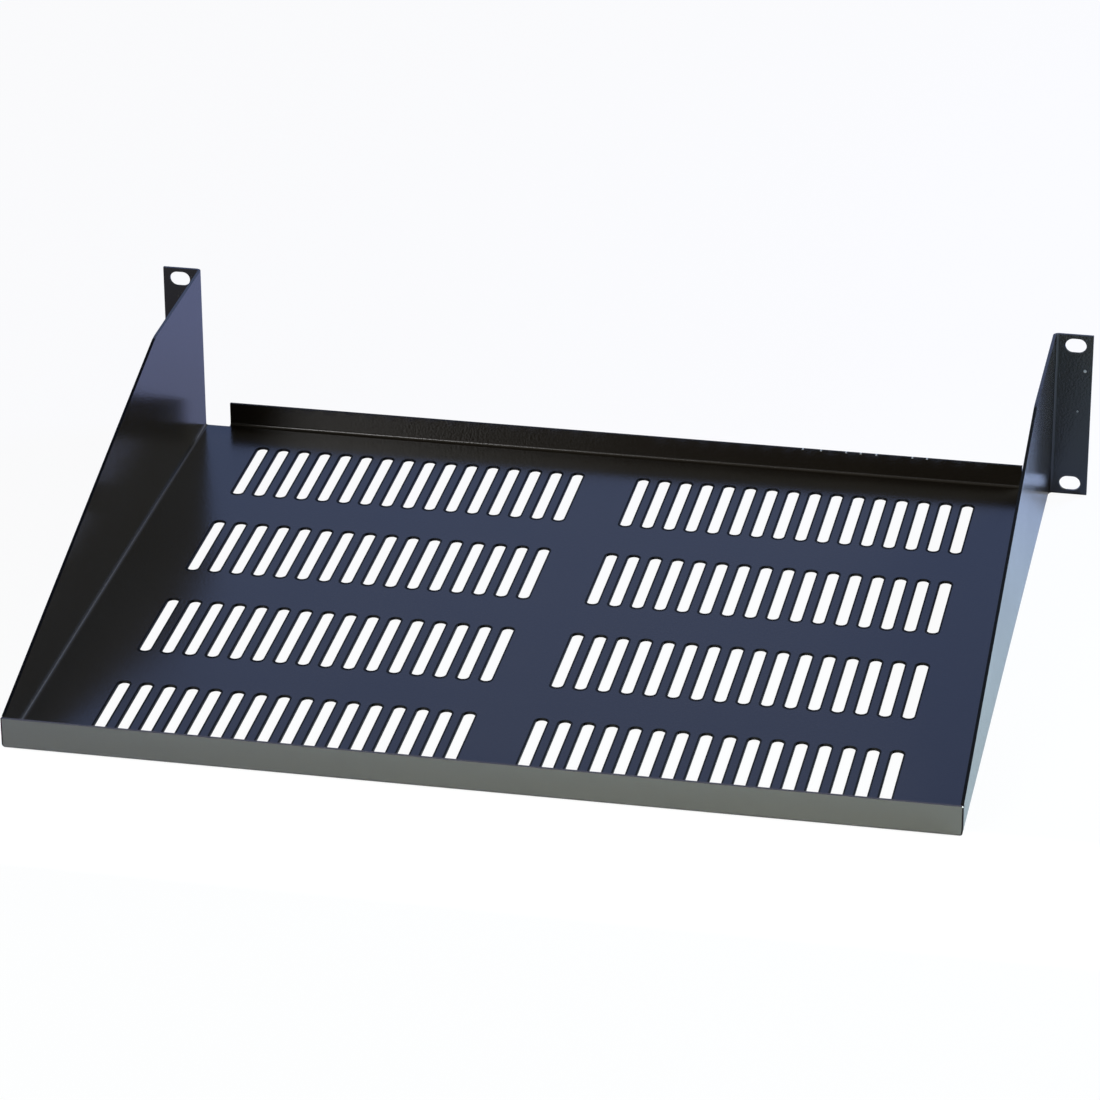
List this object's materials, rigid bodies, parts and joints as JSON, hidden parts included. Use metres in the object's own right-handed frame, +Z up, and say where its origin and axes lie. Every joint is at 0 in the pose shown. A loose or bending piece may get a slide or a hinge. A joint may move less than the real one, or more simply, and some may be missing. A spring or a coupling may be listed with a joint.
{
  "type": "cantilever rack shelf",
  "caption": "Vented cantilever shelf folded from steel sheet, with low lips and sloping side panels, screwed to a rack's front posts by its slotted ears.",
  "frame": {"origin": "middle of the four mounting slots, in the plane of the ears' rear faces, which bear on the rack posts", "axes": "+Z up, +Y towards the front of the rack, +X to the right as seen from the rear of the rack"},
  "size_m": [0.4826, 0.3655, 0.0885],
  "materials": {
    "black_powder_coat": "satin"
  },
  "bodies": {
    "root": {"shelf": "black_powder_coat"}
  },
  "joints": []
}
